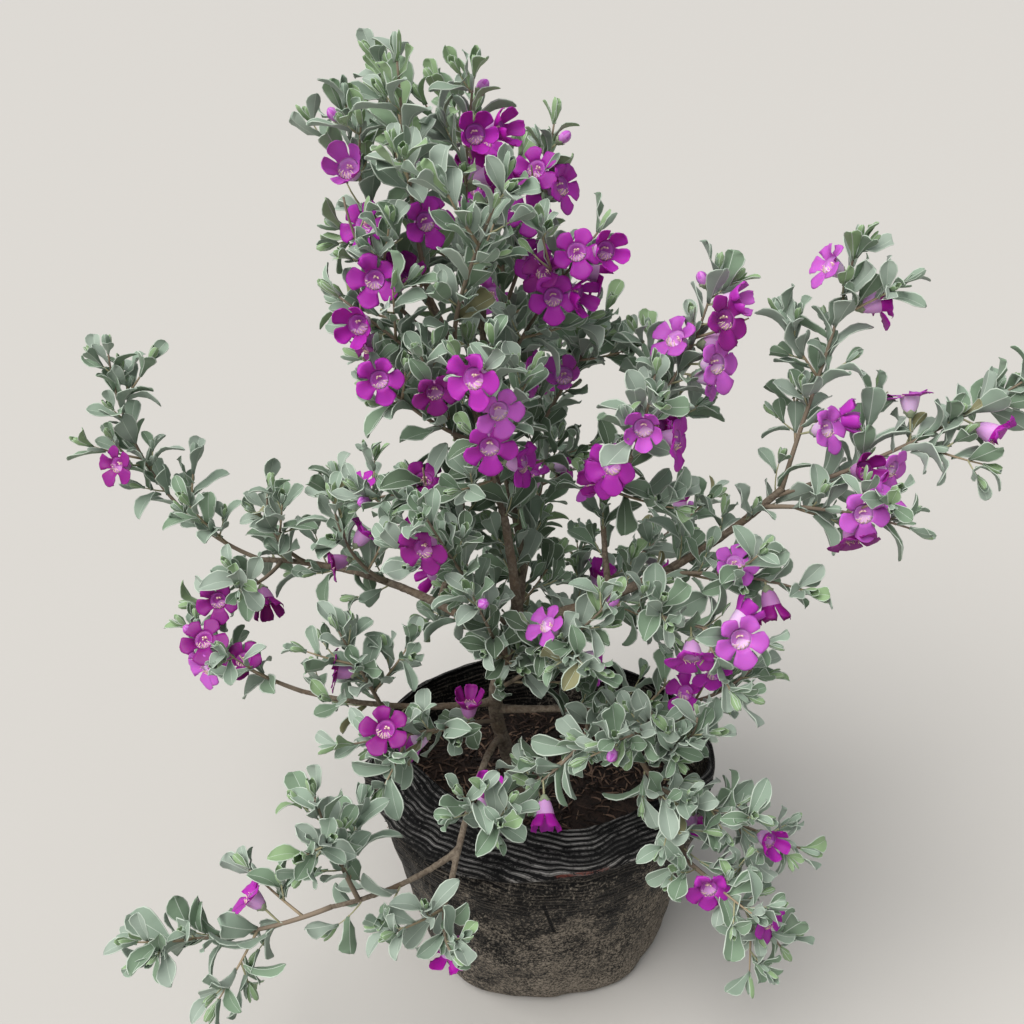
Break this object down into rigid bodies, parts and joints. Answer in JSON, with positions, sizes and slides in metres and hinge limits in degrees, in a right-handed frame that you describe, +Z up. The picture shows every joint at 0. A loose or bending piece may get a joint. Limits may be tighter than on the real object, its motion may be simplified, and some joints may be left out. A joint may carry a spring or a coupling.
{
  "type": "potted flowering shrub",
  "caption": "Small silver-leaved Texas sage shrub in purple bloom, with an open many-stemmed crown, in a round black plastic grow bag filled with potting mix.",
  "frame": {"origin": "centre of the flat underside of the grow bag, on the surface it stands on", "axes": "+Z up along the plant, -Y towards the front, where the low bough hangs over the rim, and +X to the right of that view"},
  "size_m": [0.6321, 0.4207, 0.6317],
  "materials": {
    "bag": "black polythene film, wrinkled and dusty",
    "soil": "moist fibrous potting mix of husk and coir",
    "bark": "light grey-brown bark, finely rough",
    "foliage": "felted silver-green leaves with magenta-purple flowers"
  },
  "bodies": {
    "root": {"grow_bag": "bag", "soil": "soil", "trunk": "bark", "leader_left": "bark", "leader_right": "bark", "right_bough": "bark", "left_bough": "bark", "left_riser": "bark", "right_riser": "bark", "low_left_bough": "bark", "low_right_bough": "bark", "front_bough": "bark", "front_left_bough": "bark", "right_front_bough": "bark", "top_far_left": "foliage", "top_left": "foliage", "top_middle": "foliage", "top_front": "foliage", "top_back": "foliage", "top_right": "foliage", "crown_right_high": "foliage", "crown_left_high": "foliage", "crown_left_mid": "foliage", "crown_left_low": "foliage", "crown_front_high": "foliage", "crown_front": "foliage", "crown_right_mid": "foliage", "crown_back_high": "foliage", "right_riser_top": "foliage", "right_riser_front": "foliage", "right_tip_up": "foliage", "right_tip_out": "foliage", "right_tip_low": "foliage", "right_mid_low": "foliage", "right_mid_front": "foliage", "centre_front": "foliage", "centre_rosette": "foliage", "left_centre": "foliage", "left_riser_top": "foliage", "left_riser_side": "foliage", "left_inner": "foliage", "left_middle": "foliage", "left_tip_low": "foliage", "left_tip": "foliage", "low_left_inner": "foliage", "low_left_tip": "foliage", "low_left_rim": "foliage", "low_right_rim": "foliage", "low_right_tip": "foliage", "inner_shoot": "foliage", "rim_right": "foliage", "over_rim_right": "foliage", "over_rim_front_right": "foliage", "front_inner": "foliage", "front_low": "foliage", "front_tip": "foliage", "front_rise": "foliage", "back_top": "foliage", "back_left": "foliage", "back_right": "foliage"}
  },
  "joints": []
}
